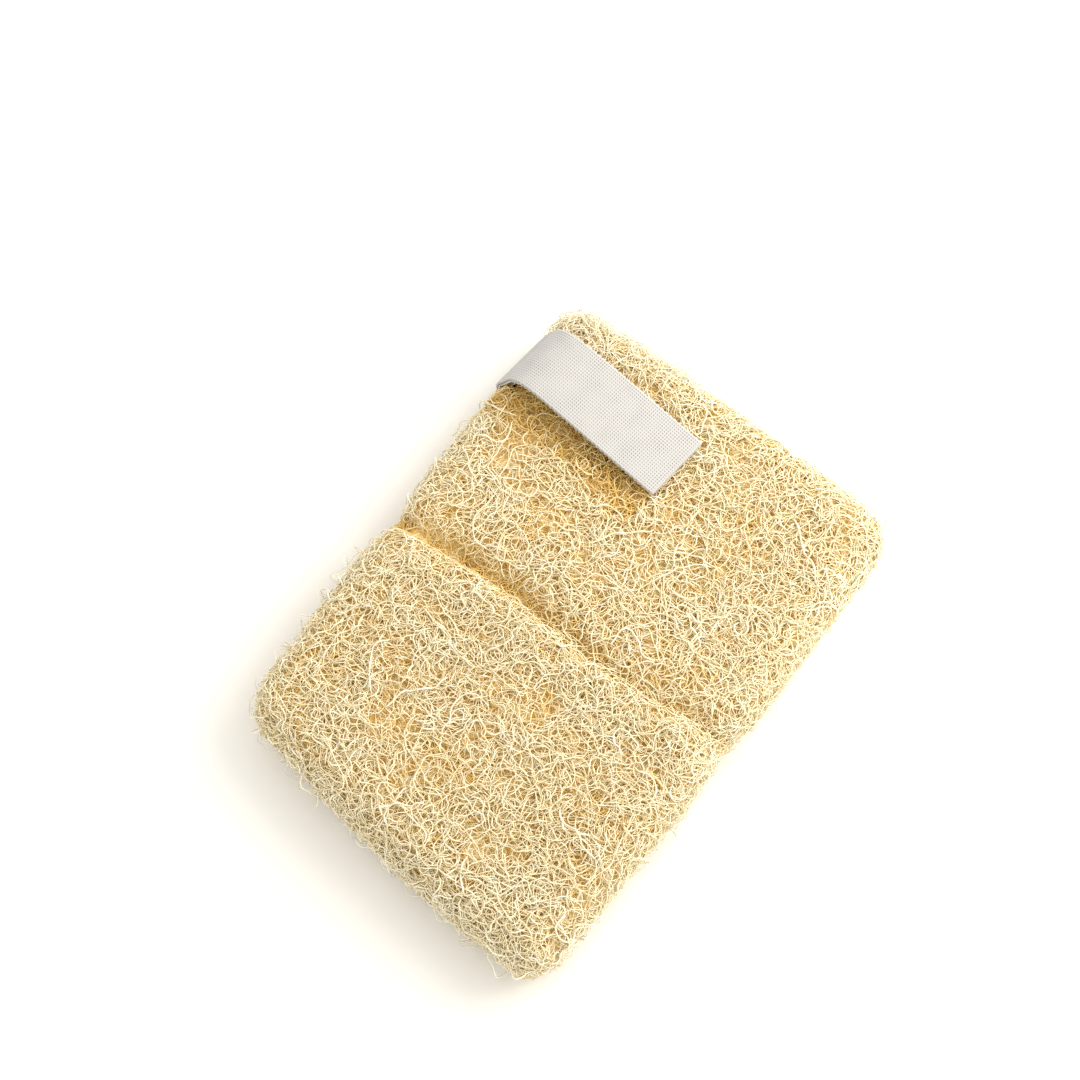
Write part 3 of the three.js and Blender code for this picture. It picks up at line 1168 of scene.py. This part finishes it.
@dataclass
class Studio:
    """A pale paper floor, one large soft light from the loop's end and an even white surround."""

    floor_size: float = 40.0
    look_x: float = 21.3 * MM
    look_y: float = 23.6 * MM
    look_z: float = 12 * MM
    distance: float = 800 * MM
    elevation: float = 67.0
    heading: float = 52.9
    lens: float = 83.4
    key_power: float = 3.4
    key_size: float = 0.5
    key_place: tuple[float, float, float] = (0.36, -0.23, 0.34)
    key_colour: str = "#FFF8EE"
    surround: float = 1.12
    surround_colour: str = "#FFFCF7"
    sensor: float = 36.0

    def build(self) -> None:
        """Sets up the floor, the lights and the camera."""
        bpy.context.scene.view_settings.view_transform = "Standard"
        self.build_floor()
        self.build_lights()
        self.build_camera()

    def build_floor(self) -> None:
        """Lays the paper floor under the object."""
        bm = bmesh.new()
        bmesh.ops.create_grid(bm, x_segments=1, y_segments=1, size=self.floor_size / 2)
        mesh = bpy.data.meshes.new("paper_floor")
        bm.to_mesh(mesh)
        bm.free()
        floor = link("paper_floor", mesh)
        mesh.materials.append(StudioPaper().material())

    def build_lights(self) -> None:
        """Hangs the soft key light and sets the white surround."""
        lamp = bpy.data.lights.new("soft_key", "AREA")
        lamp.energy = self.key_power
        lamp.size = self.key_size
        lamp.color = colour(self.key_colour)[:3]
        key = link("soft_key", lamp)
        key.location = self.key_place
        aim = Vector((0, 0, 0)) - key.location
        key.rotation_euler = aim.to_track_quat("-Z", "Y").to_euler()
        world = bpy.data.worlds.new("white_surround")
        world.use_nodes = True
        background = world.node_tree.nodes["Background"]
        background.inputs["Color"].default_value = colour(self.surround_colour)
        background.inputs["Strength"].default_value = self.surround
        bpy.context.scene.world = world

    def build_camera(self) -> None:
        """Puts the camera at the photograph's angle."""
        camera = link("photo_camera", bpy.data.cameras.new("photo_camera"))
        camera.data.lens = self.lens
        camera.data.sensor_width = self.sensor
        rise = math.radians(self.elevation)
        turn = math.radians(self.heading)
        level = math.cos(rise)
        back = Vector((-math.sin(turn) * level, -math.cos(turn) * level, math.sin(rise)))
        camera.location = Vector((self.look_x, self.look_y, self.look_z)) + back * self.distance
        camera.rotation_euler = (math.pi / 2 - rise, 0, -turn)
        bpy.context.scene.camera = camera


def main() -> None:
    """Builds and dresses the sponge in order, sets the studio and notes the sizes."""
    logging.basicConfig(level=logging.INFO, format="%(message)s")
    route = TapeRoute()
    pad = LoofahPad(PadEnvelope(), route)
    pad.build()
    pad.dress()
    stitch = BoxStitch(route)
    stitch.build()
    stitch.dress()
    loop = HangingLoop(route)
    loop.build()
    loop.dress(pad.nets[0], [stitch.seam])
    Studio().build()
    pieces = [pad.heart, *pad.nets, stitch.seam, loop.tape]
    for piece in pieces:
        triangles = sum(len(face.vertices) - 2 for face in piece.data.polygons)
        LOG.info("%s: %d triangles", piece.name, triangles)
    LOG.info("tape %.1f mm long", route.run() / MM)


if __name__ == "__main__":
    main()
